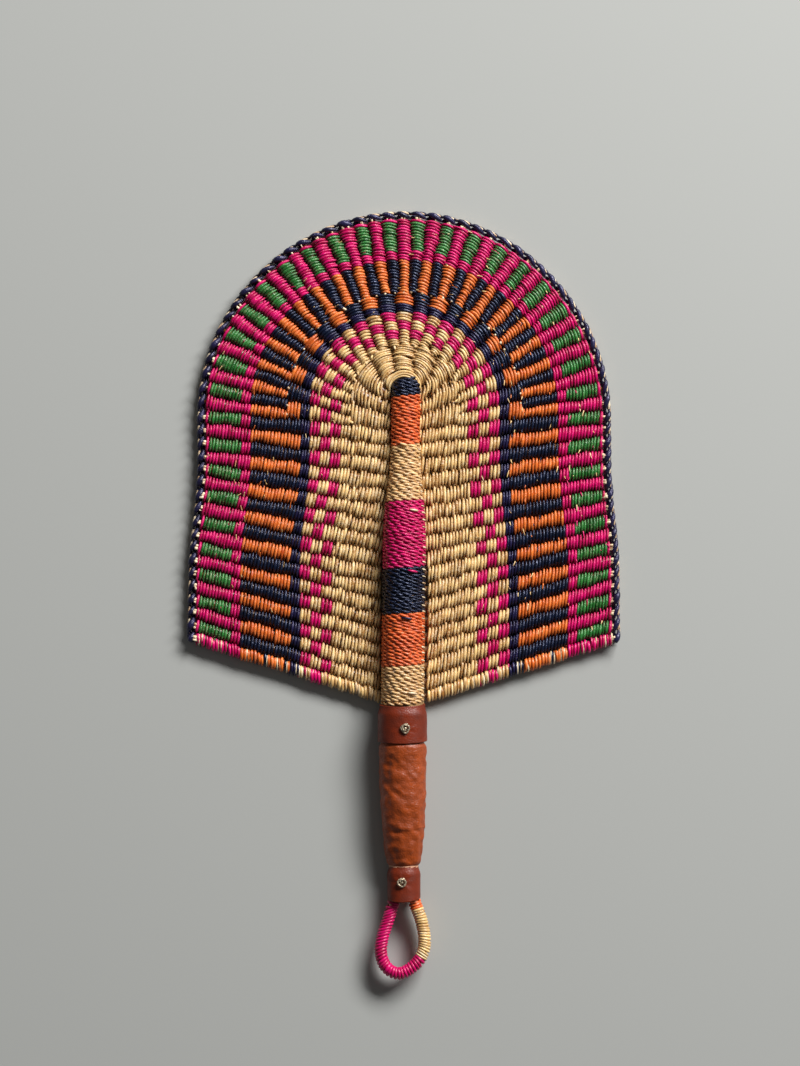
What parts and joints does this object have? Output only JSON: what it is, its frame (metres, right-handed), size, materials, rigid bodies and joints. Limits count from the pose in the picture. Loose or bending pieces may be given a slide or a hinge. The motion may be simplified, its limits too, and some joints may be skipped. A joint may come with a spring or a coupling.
{
  "type": "palm leaf fan",
  "caption": "Hand fan: a woven straw blade with a round top, lashed to a bound stick, with a leather grip between two collars and a wound hanging loop at the foot.",
  "frame": {"origin": "middle of the outline, at the level of the blade's back", "axes": "+Y from the hanging loop to the crown of the blade, +X across the blade, +Z out of its front"},
  "size_m": [0.2502, 0.4442, 0.0256],
  "materials": {
    "natural_straw": "undyed twisted grass straw, satin",
    "pink_straw": "dyed twisted grass straw, satin",
    "green_straw": "dyed twisted grass straw, satin",
    "orange_straw": "dyed twisted grass straw, satin",
    "navy_straw": "dyed twisted grass straw, satin",
    "purple_straw": "dyed twisted grass straw, satin",
    "stick_wood": "bare split stick",
    "packing": "loose straw wound round the stick",
    "dark_leather": "dark red-brown hide, satin",
    "grip_leather": "tan-brown hide, satin",
    "cord": "twisted straw cord",
    "steel": "dull nail steel"
  },
  "bodies": {
    "fan": {"stakes": "natural_straw", "natural_field": "natural_straw", "check_band": "pink_straw", "purple_band": "purple_straw", "orange_navy_band": "orange_straw", "pink_green_band": "green_straw", "edge_twine": "navy_straw", "edge_roll": "natural_straw", "left_foot_binding": "natural_straw", "right_foot_binding": "natural_straw", "binding_natural_lower": "natural_straw", "binding_orange_lower": "orange_straw", "binding_navy_lower": "navy_straw", "binding_pink": "pink_straw", "binding_natural_upper": "natural_straw", "binding_orange_upper": "orange_straw", "binding_navy_tip": "navy_straw", "upper_washer": "steel", "upper_nail": "steel", "lower_washer": "steel", "lower_nail": "steel", "stick": "stick_wood", "upper_collar": "dark_leather", "grip_leather": "grip_leather", "grip_packing": "packing", "lower_collar": "dark_leather", "left_loop_tail": "cord", "right_loop_tail": "cord"},
    "hanging_loop": {"loop_cord": "cord", "loop_pink_winding": "pink_straw", "loop_natural_winding": "natural_straw", "loop_orange_whipping": "orange_straw"}
  },
  "joints": [
    {"name": "loop_bend", "type": "hinge", "parent": "fan", "child": "hanging_loop", "pos_m": [0, -0.17715, 0.0074], "axis": [1, 0, 0], "range_deg": [-20, 20], "stiffness_Nm_per_rad": 0.05}
  ]
}
